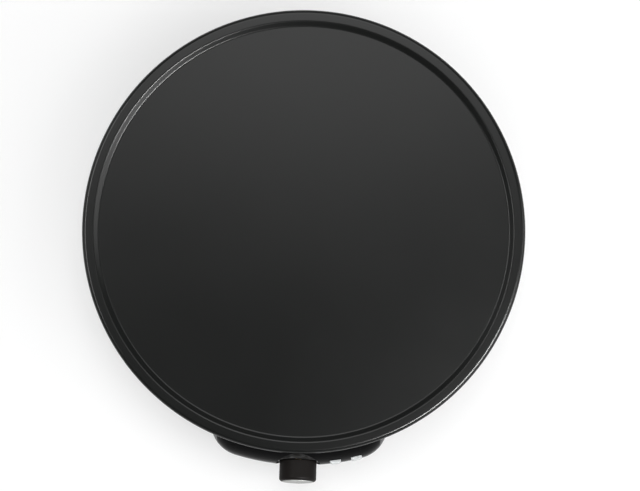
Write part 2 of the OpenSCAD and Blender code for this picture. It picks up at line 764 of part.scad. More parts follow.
module lamp_retainers() color("#a9aaa8") in_place() for (a = lamp_angles)
    at_lamp(a, -lamp_pad_back - 0.8) ring(6.5, lens_stem_r + slip, 0.8);

module lamp_wires() color("#e8e6df") in_place() for (i = [0, 1]) {
    end = knob_point(cover_half, 4 - 10 * i, -30);
    bent_tube([
        lamp_point(lamp_angles[i], -neon_back), lamp_point(lamp_angles[i], -neon_back - 6),
        [30 + 10 * i, end.y, end.z], end
    ], lead_r, 3);
}

// ---- Terminal block and wiring ----

module terminal_block() color("#efece2") in_place() difference() {
    translate([block_at.x - block_size.x / 2, block_at.y - block_size.y / 2, block_z])
        cube(block_size);
    at_poles() {
        translate([0, -20, pole_z]) rotate([-90, 0, 0]) cylinder(r = 3 + slip, h = 40);
        for (y = [-6, 6]) translate([0, y, pole_z]) cylinder(r = 2.1, h = 20);
    }
    at_block_screws() {
        cylinder(r = 1.8, h = 60);
        translate([0, 0, block_z + 10]) cylinder(r = 2.9, h = 20);
    }
}

module terminal_inserts() color("#c9a24a") in_place() at_poles() difference() {
    translate([0, -10, pole_z]) rotate([-90, 0, 0]) cylinder(r = 3, h = 20);
    translate([0, -20, pole_z]) rotate([-90, 0, 0]) cylinder(r = 1.7, h = 40);
    for (y = [-6, 6]) translate([0, y, pole_z]) cylinder(r = 1.5 + slip, h = 20);
}

module terminal_screws() color("#b7b6b1") in_place() at_poles() for (y = [-6, 6])
    translate([0, y, pole_z + 3.4]) screw(2, 1.8, 1.5, 1.9);

module block_screws() color("#b7b6b1") in_place() at_block_screws()
    translate([0, 0, block_z + 10]) screw(2.8, 2, 1.6, block_z + 10 - floor_z - 2);

fuse_at = leg_point(inner_loop_r, inner_end, 16);
live_side = block_at.x + pole_pitch;
neutral_side = block_at.x - pole_pitch;
block_front = block_at.y - 8;

module wire(points) {
    bent_tube(points, wire_r, wire_bend);
}

module wire_live() color("#6b4226") in_place() wire([
    [live_side, block_front, pole_z], [live_side, 92, pole_z], [24, -118, 17],
    knob_point(tab_x, tab_y, -base_back - 30), knob_point(tab_x, tab_y, -base_back - 19)
]);

module wire_heater() color("#6b4226") in_place() wire([
    knob_point(-tab_x, tab_y, -base_back - 19), knob_point(-tab_x, tab_y, -base_back - 30),
    leg_point(outer_loop_r, outer_end, 17), leg_point(outer_loop_r, outer_end, connector_z)
]);

module wire_neutral() color("#2f5f9e") in_place() {
    wire([
        [neutral_side, block_front, pole_z], [neutral_side, 92, pole_z], [fuse_at.x, 12, 16],
        [fuse_at.x, -20, 16]
    ]);
    wire([[fuse_at.x, -50, 16], fuse_at, fuse_at + [0, 0, connector_z - 16]]);
}

module wire_earth() color("#6f9a3c") in_place() wire([
    [block_at.x, block_front, pole_z], [block_at.x, 92, pole_z],
    polar(tag_r + 12, tag_angle, 22), polar(tag_r + 12, tag_angle, tag_z - 0.4)
]);

module thermal_fuse() color("#d8d8d6") in_place() translate([fuse_at.x, -29, 16])
    rotate([90, 0, 0]) cylinder(r = 2, h = 12);

module fuse_sleeve() color("#e6ded0") in_place() translate([fuse_at.x, -20, 16])
    rotate([90, 0, 0]) ring(2.9, 2 + fit_gap, 30);

module earth_tag() color("#c9b458") in_place() rotate([0, 0, tag_angle]) difference() {
    union() {
        translate([tag_r, 0, tag_z - 0.8]) cylinder(r = 4.5, h = 0.8);
        translate([tag_r, -2.5, tag_z - 0.8]) cube([14.5, 5, 0.8]);
        translate([tag_r + 12, 0, tag_z - 6]) cylinder(r = 2.4, h = 5.6);
    }
    translate([tag_r, 0, tag_z - 5]) cylinder(r = 2.1, h = 10);
    translate([tag_r + 12, 0, tag_z - 10]) cylinder(r = wire_r + slip, h = 20);
}

module earth_screw() color("#b7b6b1") in_place() at_polar(tag_r, tag_angle, tag_z - 0.8)
    rotate([180, 0, 0]) screw(4, 2.4, 1.95, 5.4);

module cord_inlet_bush() color("#222222") in_place() facing(inlet_angle, 0, inlet_z)
    rotate_extrude() polygon([
        [inlet_bore_r, inlet_in_r - 3], [8.5, inlet_in_r - 3], [8.5, inlet_in_r],
        [6.5, inlet_in_r], [6.5, inlet_face_r], [9.5, inlet_face_r], [9.5, inlet_face_r + 1.7],
        [8.7, inlet_face_r + 2.5], [inlet_bore_r, inlet_face_r + 2.5]
    ]);

// ---- Feet ----

module foot(a) {
    at_polar(foot_circle_r, a) difference() {
        union() {
            cylinder(r1 = foot_d / 2 - 0.6, r2 = foot_d / 2, h = 0.8);
            translate([0, 0, 0.8]) cylinder(r1 = foot_d / 2, r2 = foot_d / 2 + 1, h = floor_z - 0.8);
        }
        translate([0, 0, -1]) cylinder(r = 2.2, h = floor_z + 2);
        translate([0, 0, -1]) cylinder(r = 4.7, h = 4.5);
    }
}

module foot_front_left() color("#262626") in_place() foot(225);

module foot_front_right() color("#262626") in_place() foot(315);

module foot_rear_left() color("#262626") in_place() foot(135);

module foot_rear_right() color("#262626") in_place() foot(45);

module foot_screws() color("#b7b6b1") in_place() for (a = [45:90:315])
    at_polar(foot_circle_r, a, 3.5) rotate([180, 0, 0]) screw(4.2, 2.2, 2, floor_z + 8);

baking_plate();
heating_element();
element_seals();
element_pins();
element_connectors();
element_clamps();
clamp_screws();
sensing_bulb();
bulb_clip();
bulb_clip_screws();
capillary_tube();
heat_shield();
plate_spacers();
plate_washers();
plate_screws();
base_housing();
front_fascia();
fascia_screws();
dial_ring();
knob();
knob_cap();
knob_pointer();
knob_spring_clip();
thermostat_spindle();
thermostat_bush();
thermostat_bracket();
thermostat_cover();
thermostat_base();
thermostat_diaphragm();
thermostat_contacts();
thermostat_terminals();
thermostat_screws();
push_on_connectors();
pilot_lens_left();
pilot_lens_right();
neon_bulbs();
lamp_retainers();
lamp_wires();
terminal_block();
terminal_inserts();
terminal_screws();
block_screws();
thermal_fuse();
fuse_sleeve();
wire_live();
wire_neutral();
wire_heater();
wire_earth();
earth_tag();
earth_screw();
cord_inlet_bush();
foot_front_left();
foot_front_right();
foot_rear_left();
foot_rear_right();
foot_screws();
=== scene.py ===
# %% [markdown]
# # Electric crepe maker
# The object is a cast baking plate, 380 mm across, on a moulded base with a control pod at
# the front. The solids come in as a fixed frame, and this script gives them their looks.
# Everything is in metres, with +Z up and the front of the object towards -Y.

# %% Load the frame
import json
import math

import bmesh
import bpy
from mathutils import Matrix, Vector


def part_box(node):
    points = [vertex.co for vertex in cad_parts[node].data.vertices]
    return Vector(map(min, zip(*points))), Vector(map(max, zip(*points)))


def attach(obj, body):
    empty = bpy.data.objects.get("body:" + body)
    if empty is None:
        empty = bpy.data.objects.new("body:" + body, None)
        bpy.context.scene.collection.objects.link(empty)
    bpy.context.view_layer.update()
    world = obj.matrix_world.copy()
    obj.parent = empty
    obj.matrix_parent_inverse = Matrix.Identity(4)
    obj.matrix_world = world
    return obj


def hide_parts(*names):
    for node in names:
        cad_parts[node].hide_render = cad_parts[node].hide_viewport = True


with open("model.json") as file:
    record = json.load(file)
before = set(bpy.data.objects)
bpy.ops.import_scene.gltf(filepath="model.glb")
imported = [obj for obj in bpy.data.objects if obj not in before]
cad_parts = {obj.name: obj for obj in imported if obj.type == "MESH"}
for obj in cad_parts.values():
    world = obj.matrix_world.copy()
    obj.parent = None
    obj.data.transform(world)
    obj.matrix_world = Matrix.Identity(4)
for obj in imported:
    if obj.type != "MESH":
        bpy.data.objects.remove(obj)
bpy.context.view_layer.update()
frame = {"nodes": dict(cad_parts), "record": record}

MM = 0.001

# %% [markdown]
# ## Where things are
# The plate is round about its own upright axis, which lies a little behind the middle of the
# object. The knob and the lamps stand square to the round front of the pod. One matrix for
# each carries a shape that is drawn upright about the origin to its place.

# %% Axes of the object
plate_low, plate_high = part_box("baking_plate")
AXIS_Y = (plate_low.y + plate_high.y) / 2
# The pod's front is rounded by POD_ROUND about an arc, BALL_R from the plate's axis and BALL_Z up
BALL_R, BALL_Z, POD_ROUND = 176.5, 41.3, 30.0
KNOB_TILT, LAMP_TILT, LAMP_TURNS = 17.2, 28, (9.3, 14.6)
on_plate_axis = Matrix.Translation((0, AXIS_Y, 0))


def square_to_pod(turn, tilt):
    """A frame whose +Z leaves the pod's surface, by degrees round the plate's axis and up."""
    turn, tilt = math.radians(turn), math.radians(tilt)
    reach = (BALL_R + POD_ROUND * math.cos(tilt)) * MM
    height = (BALL_Z + POD_ROUND * math.sin(tilt)) * MM
    return (on_plate_axis @ Matrix.Rotation(turn, 4, "Z") @ Matrix.Translation((0, -reach, height))
            @ Matrix.Rotation(math.pi / 2 - tilt, 4, "X"))


on_knob_axis = square_to_pod(0, KNOB_TILT)
on_lamp_axes = [square_to_pod(turn, LAMP_TILT) for turn in LAMP_TURNS]
print("plate axis y", round(AXIS_Y, 5), "knob at", on_knob_axis.translation)

# %% [markdown]
# ## Camera
# The photograph looks almost straight down from about a metre above the rim. The object is
# turned by a degree and a half in it. A longer lens than the usual 50 mm brings the plate
# to the width that it has there.

# %% Camera
CAMERA_PLACE, LENS_MM, SENSOR_MM, CAMERA_TURN = (0.0143, 0.0052, 1.082), 65.87, 36, 1.5
camera = bpy.data.objects.new("camera", bpy.data.cameras.new("camera"))
bpy.context.scene.collection.objects.link(camera)
camera.data.sensor_width = SENSOR_MM
camera.data.lens = LENS_MM
camera.location = CAMERA_PLACE
camera.rotation_euler = (0, 0, math.radians(CAMERA_TURN))
bpy.context.scene.camera = camera
print("camera", tuple(camera.location), "lens", camera.data.lens)

# %% [markdown]
# ## Helpers for nodes
# Floor, room and finishes are all made of shader nodes. A few helpers keep them short: one
# starts a material, two give inputs their numbers or links, and two make the nodes that
# are used most.

# %% Helpers for nodes
def shader(name):
    """A new material with its node tree and its Principled shader."""
    finish = bpy.data.materials.new(name)
    finish.use_nodes = True
    return finish, finish.node_tree, finish.node_tree.nodes["Principled BSDF"]


def join(tree, value, socket):
    """Gives an input another node's output, or a number or colour."""
    if isinstance(value, bpy.types.NodeSocket):
        tree.links.new(value, socket)
    else:
        socket.default_value = value


def feed(tree, node, **values):
    """Gives a node's inputs their values by name, with _ for each space, and returns the node."""
    for socket, value in values.items():
        join(tree, value, node.inputs[socket.replace("_", " ")])
    return node


def math_node(tree, operation, first, second):
    """The result of one operation on two numbers or outputs."""
    made = tree.nodes.new("ShaderNodeMath")
    made.operation = operation
    join(tree, first, made.inputs[0])
    join(tree, second, made.inputs[1])
    return made.outputs[0]


def remapped(tree, value, start, end, to_start=0.0, to_end=1.0, smooth=False):
    """A value carried from one span to another, whose ends are numbers or outputs."""
    made = tree.nodes.new("ShaderNodeMapRange")
    if smooth:
        made.interpolation_type = "SMOOTHSTEP"
    feed(tree, made, Value=value, From_Min=start, From_Max=end, To_Min=to_start, To_Max=to_end)
    return made.outputs["Result"]


# %% [markdown]
# ## Floor and light
# The floor is a white sheet. Part of its white is a glow that only lights up what the camera
# sees of it, directly, in a reflection or through glass, so that the soft shadows on it stay
# pale and the glow lights nothing. Two large soft lights do most of the lighting, one
# overhead and a stronger one at the right, which leaves the soft shadow on the left. They
# light colours only and stay out of reflections, so that the black surfaces keep their
# depth. What the plate mirrors is set apart from that. Two softboxes stand low: a long one
# at the right lights the sloping step at the upper left, and a faint one at the left lights
# it at the right. Two narrow lamps higher up, a bright one at the lower right and a weaker
# one at the left, draw the thin lines along the rim, because its small roundings mirror them.

# %% Floor
PAPER_WHITE, PAPER_GLOW, FLOOR_R = 0.54, 0.42, 5
paper, tree, surface = shader("white_paper")
path = tree.nodes.new("ShaderNodeLightPath")
looked_at = path.outputs["Is Camera Ray"]
for ray in ("Is Glossy Ray", "Is Transmission Ray"):
    looked_at = math_node(tree, "MAXIMUM", looked_at, path.outputs[ray])
feed(tree, surface, Base_Color=(PAPER_WHITE, PAPER_WHITE, PAPER_WHITE, 1), Roughness=0.9,
     Specular_IOR_Level=0.1, Emission_Color=(1, 1, 1, 1),
     Emission_Strength=math_node(tree, "MULTIPLY", looked_at, PAPER_GLOW))
sheet = bmesh.new()
bmesh.ops.create_circle(sheet, cap_ends=True, segments=64, radius=FLOOR_R)
floor_mesh = bpy.data.meshes.new("floor")
sheet.to_mesh(floor_mesh)
sheet.free()
floor_mesh.materials.append(paper)
floor = bpy.data.objects.new("floor", floor_mesh)
bpy.context.scene.collection.objects.link(floor)
print("floor", FLOOR_R, "m in radius")

# %% Lights
LIT_POINT = Vector((0, 0, 0.07))
# Each row: name, place and size across and up in metres, power in watts
COLOUR_LIGHTS = (("fill_right", (1.8, -0.6, 1.7), (1.6, 1.6), 23),
                 ("fill_overhead", (0.2, -1.0, 2.05), (2.0, 2.0), 21))
MIRRORED_LIGHTS = (("softbox_right", (1.46, -0.58, 0.95), (2.0, 0.45), 18),
                   ("softbox_left", (-1.5, 0.3, 0.75), (1.4, 0.4), 3),
                   ("lamp_lower_right", (0.77, -0.72, 1.5), (0.8, 0.2), 74),
                   ("lamp_left", (-0.95, 0.1, 1.5), (1.0, 0.3), 14))


def soft_light(name, place, size, power):
    """A rectangular area light at a place, turned towards the plate."""
    lamp = bpy.data.lights.new(name, "AREA")
    lamp.shape, lamp.size, lamp.size_y = "RECTANGLE", size[0], size[1]
    lamp.energy = power
    light = bpy.data.objects.new(name, lamp)
    light.location = place
    light.rotation_euler = (LIT_POINT - Vector(place)).to_track_quat("-Z", "Y").to_euler()
    bpy.context.scene.collection.objects.link(light)
    return light


for row in COLOUR_LIGHTS:
    soft_light(*row).visible_glossy = False
for row in MIRRORED_LIGHTS:
    soft_light(*row).visible_diffuse = False

# %% [markdown]
# The room itself is a white wall all round with a dim ceiling. Its brightness follows the
# height of the direction that is looked in, which is 0 level and 1 straight up: white up to
# some nine degrees above the level, then falling off until some twenty-four. Pictures from
# the side get a white background from the wall. A broad window high up behind the object
# gives the flat plate its slow fade from grey to black.

# %% Room
WALL_TOP, CEILING_START, WALL_GLOW, CEILING_GLOW = 0.15, 0.4, 0.95, 0.12
WINDOW_WAY, WINDOW_EDGE, WINDOW_GLOW = Vector((0.0, 0.42, 0.907)), 0.88, 4.4
world = bpy.data.worlds.new("room")
bpy.context.scene.world = world
world.use_nodes = True
tree = world.node_tree
direction = tree.nodes.new("ShaderNodeTexCoord").outputs["Generated"]
upward = feed(tree, tree.nodes.new("ShaderNodeSeparateXYZ"), Vector=direction)
towards = tree.nodes.new("ShaderNodeVectorMath")
towards.operation = "DOT_PRODUCT"
join(tree, direction, towards.inputs[0])
join(tree, WINDOW_WAY.normalized(), towards.inputs[1])
wall = remapped(tree, upward.outputs["Z"], WALL_TOP, CEILING_START, WALL_GLOW, CEILING_GLOW,
                smooth=True)
window = remapped(tree, towards.outputs["Value"], WINDOW_EDGE, 1.0, 0.0, WINDOW_GLOW, smooth=True)
feed(tree, tree.nodes["Background"], Color=(1, 1, 1, 1),
     Strength=math_node(tree, "ADD", wall, window))
bpy.context.scene.view_settings.view_transform = "Standard"
print("room: wall", WALL_GLOW, "window", WINDOW_GLOW)

# %% [markdown]
# ## Effects that many finishes share
# Real surfaces are never one flat colour: coatings have an orange-peel skin, mouldings have
# a fine grain, metal shows the marks of its tool, gloss wanders a little, and edges wear
# lighter. Each effect is a node group that is built once and given its own values in each
# finish. The groups read object coordinates, which are the object's own metres, so a pattern
# keeps its true size on every piece.

# %% Helpers for node groups
MM_IN_METRE = 1000


def node_group(name, inputs, outputs):
    """An empty shader group with named inputs (with their values) and outputs."""
    group = bpy.data.node_groups.new(name, "ShaderNodeTree")
    for socket, kind, value in inputs:
        made = group.interface.new_socket(socket, in_out="INPUT", socket_type=kind)
        if value is not None:
            made.default_value = value
    for socket, kind in outputs:
        group.interface.new_socket(socket, in_out="OUTPUT", socket_type=kind)
    return group, group.nodes.new("NodeGroupInput"), group.nodes.new("NodeGroupOutput")


def object_place(tree):
    """The point of the surface in the object's own metres."""
    return tree.nodes.new("ShaderNodeTexCoord").outputs["Object"]


def per_metre(tree, size_mm):
    """How many patches of a size in millimetres a metre holds, which is a noise's scale."""
    return math_node(tree, "DIVIDE", MM_IN_METRE, size_mm)


def noise(tree, scale, detail=2.0, roughness=0.5):
    """Noise over the object's own metres."""
    made = feed(tree, tree.nodes.new("ShaderNodeTexNoise"), Vector=object_place(tree),
                Scale=scale, Detail=detail, Roughness=roughness)
    return made.outputs["Fac"]


def bumped(tree, height, depth_mm):
    """A normal tilted by a height, which is worth a depth in millimetres."""
    made = feed(tree, tree.nodes.new("ShaderNodeBump"), Height=height,
                Distance=math_node(tree, "DIVIDE", depth_mm, MM_IN_METRE))
    return made.outputs["Normal"]


def mixed(tree, share, first, second):
    """Two colours mixed by a share of the second."""
    made = tree.nodes.new("ShaderNodeMix")
    made.data_type = "RGBA"
    return feed(tree, made, Factor=share, A=first, B=second).outputs["Result"]


# %% Grain: a bump of small even cells
grain, entry, leave = node_group(
    "grain",
    [("Size mm", "NodeSocketFloat", 0.6), ("Depth mm", "NodeSocketFloat", 0.01),
     ("Detail", "NodeSocketFloat", 2.0)],
    [("Normal", "NodeSocketVector")])
cells = noise(grain, per_metre(grain, entry.outputs["Size mm"]), entry.outputs["Detail"])
feed(grain, leave, Normal=bumped(grain, cells, entry.outputs["Depth mm"]))

# %% Smudges: slow patches between two values, for roughness
smudges, entry, leave = node_group(
    "smudges",
    [("Size mm", "NodeSocketFloat", 60.0), ("Low", "NodeSocketFloat", 0.3),
     ("High", "NodeSocketFloat", 0.4)],
    [("Value", "NodeSocketFloat")])
clouds = noise(smudges, per_metre(smudges, entry.outputs["Size mm"]), detail=5, roughness=0.6)
feed(smudges, leave,
     Value=remapped(smudges, clouds, 0.3, 0.7, entry.outputs["Low"], entry.outputs["High"]))

# %% Worn edges: a mask where the surface turns sharply
WEAR_PATCHES, FULL_WEAR = 300, 0.8
worn, entry, leave = node_group(
    "worn_edges",
    [("Width mm", "NodeSocketFloat", 0.6), ("Amount", "NodeSocketFloat", 0.5)],
    [("Mask", "NodeSocketFloat")])
softened = worn.nodes.new("ShaderNodeBevel")
softened.samples = 4
feed(worn, softened, Radius=math_node(worn, "DIVIDE", entry.outputs["Width mm"], MM_IN_METRE))
alike = worn.nodes.new("ShaderNodeVectorMath")
alike.operation = "DOT_PRODUCT"
join(worn, softened.outputs["Normal"], alike.inputs[0])
join(worn, worn.nodes.new("ShaderNodeNewGeometry").outputs["Normal"], alike.inputs[1])
turned = remapped(worn, alike.outputs["Value"], 1.0, FULL_WEAR)
patchy = math_node(worn, "MULTIPLY", turned, noise(worn, WEAR_PATCHES))
feed(worn, leave, Mask=math_node(worn, "MULTIPLY", patchy, entry.outputs["Amount"]))

# %% Colour drift: two near colours in soft patches with fine flecks
drift, entry, leave = node_group(
    "colour_drift",
    [("Colour A", "NodeSocketColor", (0.5, 0.5, 0.5, 1)),
     ("Colour B", "NodeSocketColor", (0.6, 0.6, 0.6, 1)),
     ("Worn colour", "NodeSocketColor", (0.7, 0.7, 0.7, 1)),
     ("Worn", "NodeSocketFloat", 0.0),
     ("Size mm", "NodeSocketFloat", 40.0)],
    [("Color", "NodeSocketColor")])
patches = noise(drift, per_metre(drift, entry.outputs["Size mm"]), detail=8, roughness=0.65)
drifting = mixed(drift, patches, entry.outputs["Colour A"], entry.outputs["Colour B"])
feed(drift, leave,
     Color=mixed(drift, entry.outputs["Worn"], drifting, entry.outputs["Worn colour"]))

# %% Tool marks: fine rings about a local axis, as a lathe leaves them
turned_marks, entry, leave = node_group(
    "turned_marks",
    [("Place", "NodeSocketVector", None), ("Pitch mm", "NodeSocketFloat", 0.25),
     ("Depth mm", "NodeSocketFloat", 0.004)],
    [("Normal", "NodeSocketVector"), ("Mask", "NodeSocketFloat")])
parts = feed(turned_marks, turned_marks.nodes.new("ShaderNodeSeparateXYZ"),
             Vector=entry.outputs["Place"])
flat = feed(turned_marks, turned_marks.nodes.new("ShaderNodeCombineXYZ"),
            X=parts.outputs["X"], Y=parts.outputs["Y"])
radius = turned_marks.nodes.new("ShaderNodeVectorMath")
radius.operation = "LENGTH"
join(turned_marks, flat.outputs[0], radius.inputs[0])
radius_mm = math_node(turned_marks, "MULTIPLY", radius.outputs["Value"], MM_IN_METRE)
rings = turned_marks.nodes.new("ShaderNodeTexNoise")
rings.noise_dimensions = "1D"
feed(turned_marks, rings, Scale=1, Detail=3,
     W=math_node(turned_marks, "DIVIDE", radius_mm, entry.outputs["Pitch mm"]))
feed(turned_marks, leave, Mask=rings.outputs["Fac"],
     Normal=bumped(turned_marks, rings.outputs["Fac"], entry.outputs["Depth mm"]))
print("groups:", [g.name for g in bpy.data.node_groups])

# %% [markdown]
# ## Finishes
# One finish is made for each material slot of the record. Colours are given as they look
# under a plain white light. Most finishes are the same recipe with other numbers: a colour
# that drifts a little and lightens along worn edges, a roughness that wanders, and a grain.

# %% Recipe for a finish
SMUDGE_SPREAD = 1.3


def place_group(tree, group, **values):
    """One use of a node group with its own values."""
    used = tree.nodes.new("ShaderNodeGroup")
    used.node_tree = group
    return feed(tree, used, **values)


def finish_of(name, colours, roughness, grain_mm=(0.6, 0.01), worn_to=None, worn_by=(0.5, 0.3),
              patch_mm=40, **constants):
    """A finish: two colours it drifts between, two roughnesses, a grain of some size and depth."""
    made, tree, surface = shader(name)
    first, second = [(*c, 1) for c in colours]
    colour = place_group(tree, drift, Colour_A=first, Colour_B=second, Size_mm=patch_mm,
                         Worn_colour=(*(worn_to or colours[1]), 1))
    if worn_to:
        edges = place_group(tree, worn, Width_mm=worn_by[0], Amount=worn_by[1])
        feed(tree, colour, Worn=edges.outputs["Mask"])
    rough = place_group(tree, smudges, Low=roughness[0], High=roughness[1],
                        Size_mm=patch_mm * SMUDGE_SPREAD)
    skin = place_group(tree, grain, Size_mm=grain_mm[0], Depth_mm=grain_mm[1])
    feed(tree, surface, Base_Color=colour.outputs["Color"], Roughness=rough.outputs["Value"],
         Normal=skin.outputs["Normal"], **constants)
    return made


def centred_place(tree, matrix):
    """Object coordinates turned so that a piece's own axis is the local Z axis."""
    back = matrix.inverted()
    mapping = feed(tree, tree.nodes.new("ShaderNodeMapping"), Vector=object_place(tree),
                   Location=back.translation, Rotation=back.to_euler())
    return mapping.outputs["Vector"]


finishes = {}

# %% Plastics and rubbers
finishes["housing_black"] = finish_of(
    "moulded_black", [(0.014, 0.014, 0.015), (0.018, 0.018, 0.019)], (0.34, 0.44),
    grain_mm=(0.45, 0.012), worn_to=(0.05, 0.05, 0.05), worn_by=(0.7, 0.4))
finishes["fascia_gloss"] = finish_of(
    "gloss_black", [(0.0035, 0.0035, 0.0038), (0.0048, 0.0048, 0.005)], (0.06, 0.11),
    grain_mm=(3.0, 0.003), worn_to=(0.10, 0.10, 0.10), worn_by=(0.5, 0.8), patch_mm=25,
    Specular_IOR_Level=0.03)
finishes["ring_black"] = finish_of(
    "satin_black_ring", [(0.006, 0.006, 0.0055), (0.009, 0.0085, 0.008)], (0.26, 0.34),
    grain_mm=(0.4, 0.006), worn_to=(0.03, 0.03, 0.028), patch_mm=15, Specular_IOR_Level=0.2)
finishes["knob_black"] = finish_of(
    "knob_black", [(0.0075, 0.0062, 0.0058), (0.0105, 0.0088, 0.0080)], (0.42, 0.5),
    grain_mm=(0.35, 0.006), worn_to=(0.03, 0.027, 0.025), patch_mm=15, Specular_IOR_Level=0.05)
finishes["thermostat_phenolic"] = finish_of(
    "brown_phenolic", [(0.035, 0.020, 0.012), (0.050, 0.028, 0.017)], (0.35, 0.5),
    grain_mm=(0.8, 0.02), patch_mm=6)
finishes["sleeve_plastic"] = finish_of(
    "natural_nylon", [(0.62, 0.58, 0.47), (0.70, 0.66, 0.55)], (0.4, 0.5), patch_mm=8,
    Subsurface_Weight=0.1)
finishes["rubber_black"] = finish_of(
    "rubber", [(0.020, 0.020, 0.020), (0.030, 0.030, 0.029)], (0.62, 0.8),
    grain_mm=(0.7, 0.03), worn_to=(0.07, 0.07, 0.068), patch_mm=10)
finishes["wire_white"] = finish_of(
    "white_sleeve", [(0.70, 0.68, 0.62), (0.78, 0.76, 0.70)], (0.4, 0.5), patch_mm=10)
finishes["wire_brown"] = finish_of(
    "brown_sleeve", [(0.13, 0.055, 0.022), (0.17, 0.075, 0.030)], (0.38, 0.5), patch_mm=10)
finishes["wire_blue"] = finish_of(
    "blue_sleeve", [(0.025, 0.095, 0.32), (0.035, 0.12, 0.38)], (0.38, 0.5), patch_mm=10)
finishes["ceramic_white"] = finish_of(
    "white_ceramic", [(0.72, 0.70, 0.64), (0.80, 0.78, 0.73)], (0.35, 0.55),
    grain_mm=(0.5, 0.02), patch_mm=8)
finishes["mark_white"] = finish_of(
    "white_paint", [(0.72, 0.72, 0.70), (0.80, 0.80, 0.79)], (0.35, 0.5),
    grain_mm=(0.3, 0.01), patch_mm=5)

# %% Metals
metal = dict(Metallic=1.0)
finishes["heater_sheath"] = finish_of(
    "heater_sheath", [(0.20, 0.19, 0.18), (0.30, 0.28, 0.25)], (0.4, 0.55), patch_mm=12, **metal)
finishes["nickel_pins"] = finish_of(
    "nickel_plate", [(0.56, 0.53, 0.48), (0.63, 0.60, 0.55)], (0.25, 0.35), patch_mm=6, **metal)
finishes["zinc_steel"] = finish_of(
    "zinc_plate", [(0.50, 0.51, 0.50), (0.60, 0.60, 0.57)], (0.32, 0.48),
    grain_mm=(1.2, 0.012), patch_mm=7, **metal)
finishes["screw_steel"] = finish_of(
    "bright_steel", [(0.52, 0.51, 0.49), (0.60, 0.59, 0.57)], (0.26, 0.38), patch_mm=5, **metal)
finishes["shield_aluminised"] = finish_of(
    "aluminised_sheet", [(0.60, 0.61, 0.62), (0.68, 0.69, 0.69)], (0.36, 0.5),
    grain_mm=(1.5, 0.02), patch_mm=18, **metal)
finishes["copper"] = finish_of(
    "copper", [(0.64, 0.33, 0.20), (0.72, 0.40, 0.26)], (0.28, 0.42), patch_mm=8, **metal)
finishes["brass"] = finish_of(
    "brass", [(0.62, 0.48, 0.23), (0.70, 0.56, 0.30)], (0.26, 0.4), patch_mm=7, **metal)
finishes["fuse_metal"] = finish_of(
    "fuse_can", [(0.58, 0.57, 0.55), (0.66, 0.65, 0.62)], (0.2, 0.32), patch_mm=6, **metal)

# %% Glass and lens
finishes["neon_glass"] = finish_of(
    "lamp_glass", [(0.85, 0.62, 0.45), (0.92, 0.72, 0.55)], (0.05, 0.12), patch_mm=4,
    Transmission_Weight=0.7)
finishes["lens_clear"] = finish_of(
    "clear_lens", [(0.78, 0.80, 0.81), (0.86, 0.88, 0.88)], (0.08, 0.2), grain_mm=(0.8, 0.02),
    patch_mm=4, Transmission_Weight=0.35, IOR=1.49)

# %% [markdown]
# Two finishes need a pattern of their own. The earth wire has a yellow stripe winding round
# green, and the knob's disc is turned metal, whose rings run about the knob's own axis. A
# Mapping node carries the point of the surface into the knob's frame for that.

# %% Striped sleeve
SLEEVE_GREEN, SLEEVE_YELLOW = (0.035, 0.20, 0.045, 1), (0.62, 0.55, 0.06, 1)
finishes["wire_green"], tree, surface = shader("green_and_yellow_sleeve")
bands = tree.nodes.new("ShaderNodeTexWave")
bands.bands_direction = "DIAGONAL"
feed(tree, bands, Vector=object_place(tree), Scale=90, Distortion=1.5)
steps = feed(tree, tree.nodes.new("ShaderNodeValToRGB"), Fac=bands.outputs["Fac"])
for element, position, colour in zip(steps.color_ramp.elements, (0.60, 0.66),
                                     (SLEEVE_GREEN, SLEEVE_YELLOW)):
    element.position, element.color = position, colour
rough = place_group(tree, smudges, Low=0.38, High=0.5, Size_mm=12)
feed(tree, surface, Base_Color=steps.outputs["Color"], Roughness=rough.outputs["Value"])

# %% Turned disc
finishes["cap_silver"], tree, surface = shader("turned_aluminium")
colour = place_group(tree, drift, Colour_A=(0.27, 0.275, 0.27, 1),
                     Colour_B=(0.32, 0.325, 0.315, 1), Size_mm=6)
marks = place_group(tree, turned_marks, Place=centred_place(tree, on_knob_axis), Pitch_mm=0.22,
                    Depth_mm=0.006)
feed(tree, surface, Base_Color=colour.outputs["Color"], Normal=marks.outputs["Normal"],
     Roughness=remapped(tree, marks.outputs["Mask"], 0.0, 1.0, 0.36, 0.5), Metallic=1.0)

# %% [markdown]
# The plate's coating is what most of the picture shows: a sprayed non-stick layer, nearly
# black with a trace of green, satin, with the faint pebbled skin that spraying leaves and
# finer flecks in it. Two sizes of noise make the bump, and the roughness wanders slowly.

# %% Non-stick coating
finishes["non_stick_plate"], tree, surface = shader("non_stick_coating")
edges = place_group(tree, worn, Width_mm=1.2, Amount=0.35)
colour = place_group(tree, drift, Colour_A=(0.0055, 0.0060, 0.0057, 1),
                     Colour_B=(0.0075, 0.0081, 0.0077, 1), Worn_colour=(0.020, 0.021, 0.020, 1),
                     Worn=edges.outputs["Mask"], Size_mm=90)
rough = place_group(tree, smudges, Low=0.22, High=0.25, Size_mm=140)
peel = place_group(tree, grain, Size_mm=2.2, Depth_mm=0.010)
fleck = place_group(tree, grain, Size_mm=0.35, Depth_mm=0.003, Detail=3.0)
both = tree.nodes.new("ShaderNodeVectorMath")
both.operation = "ADD"
join(tree, peel.outputs["Normal"], both.inputs[0])
join(tree, fleck.outputs["Normal"], both.inputs[1])
even = tree.nodes.new("ShaderNodeVectorMath")
even.operation = "NORMALIZE"
join(tree, both.outputs[0], even.inputs[0])
feed(tree, surface, Base_Color=colour.outputs["Color"], Roughness=rough.outputs["Value"],
     Normal=even.outputs[0], Specular_IOR_Level=0.2)
print("finishes:", len(finishes))

